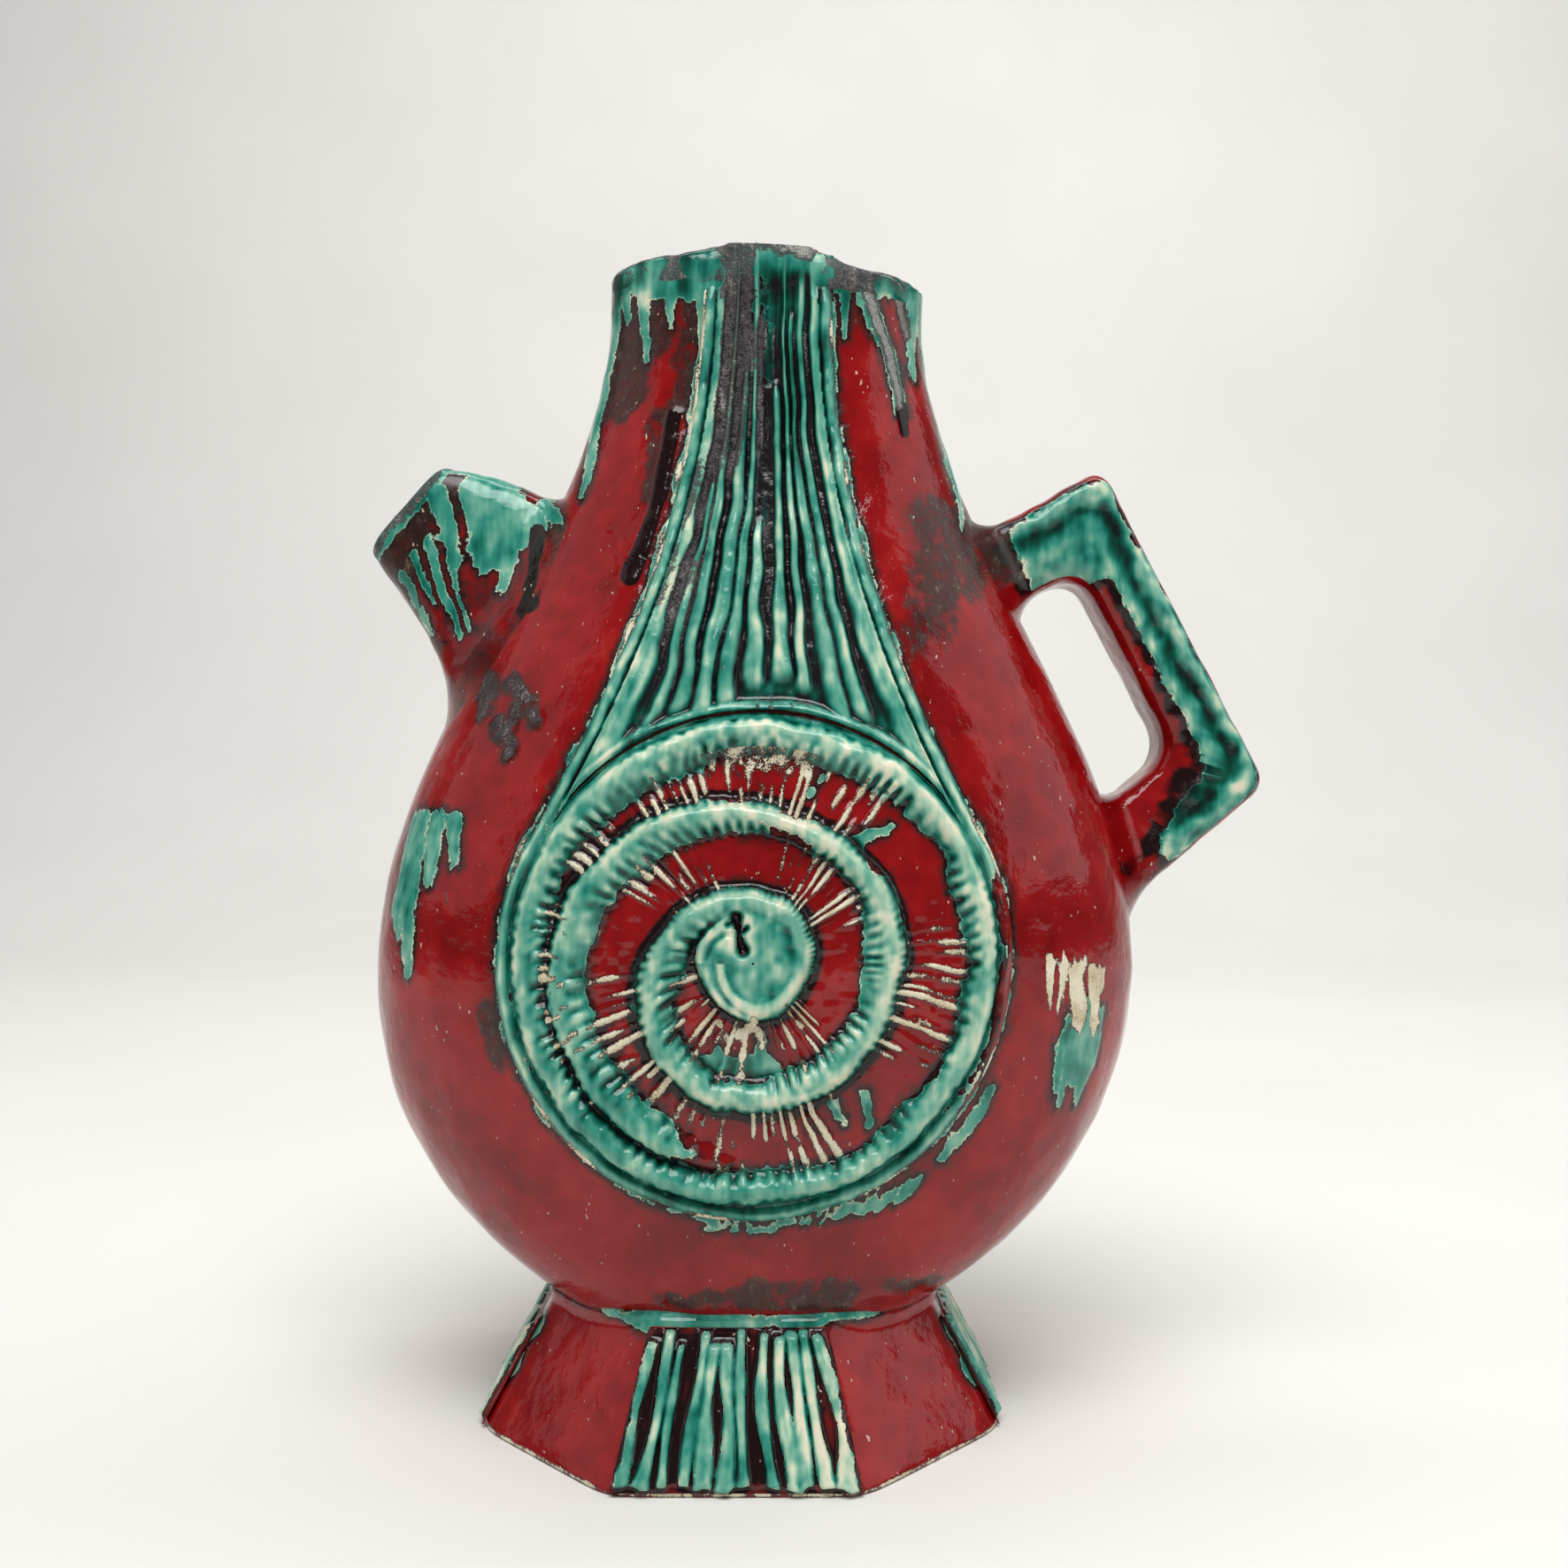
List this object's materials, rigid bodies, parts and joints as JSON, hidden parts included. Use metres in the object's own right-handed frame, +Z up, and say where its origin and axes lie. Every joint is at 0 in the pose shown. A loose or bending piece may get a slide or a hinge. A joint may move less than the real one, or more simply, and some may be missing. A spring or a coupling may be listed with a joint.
{
  "type": "fat lava vase",
  "caption": "Handmade-looking flask vase with a side spout, an angular handle and spiral relief, in red and turquoise thick glaze.",
  "frame": {"origin": "middle of the foot's underside, on the surface that the vase stands on", "axes": "+Z up, -Y towards the front with the spiral, +X towards the handle, -X towards the spout"},
  "size_m": [0.249, 0.1408, 0.3152],
  "materials": {
    "red_glaze": "glossy",
    "turquoise_glaze": "glossy",
    "crusted_glaze": "matte",
    "bare_clay": "matte"
  },
  "bodies": {
    "root": {"front_shell": "red_glaze", "rear_shell": "red_glaze", "lip_ring": "crusted_glaze", "spout": "turquoise_glaze", "handle_top_arm": "turquoise_glaze", "handle_grip": "turquoise_glaze", "handle_bottom_arm": "turquoise_glaze", "foot_shell": "red_glaze", "base_slab": "bare_clay", "front_disc": "red_glaze", "front_ring": "turquoise_glaze", "front_spiral": "turquoise_glaze", "front_border": "turquoise_glaze", "front_fan": "turquoise_glaze", "rear_disc": "red_glaze", "rear_ring": "turquoise_glaze", "rear_spiral": "turquoise_glaze", "rear_border": "turquoise_glaze", "rear_fan": "turquoise_glaze", "comb_front": "turquoise_glaze", "comb_rear": "turquoise_glaze", "comb_left": "turquoise_glaze", "comb_right": "turquoise_glaze"}
  },
  "joints": []
}
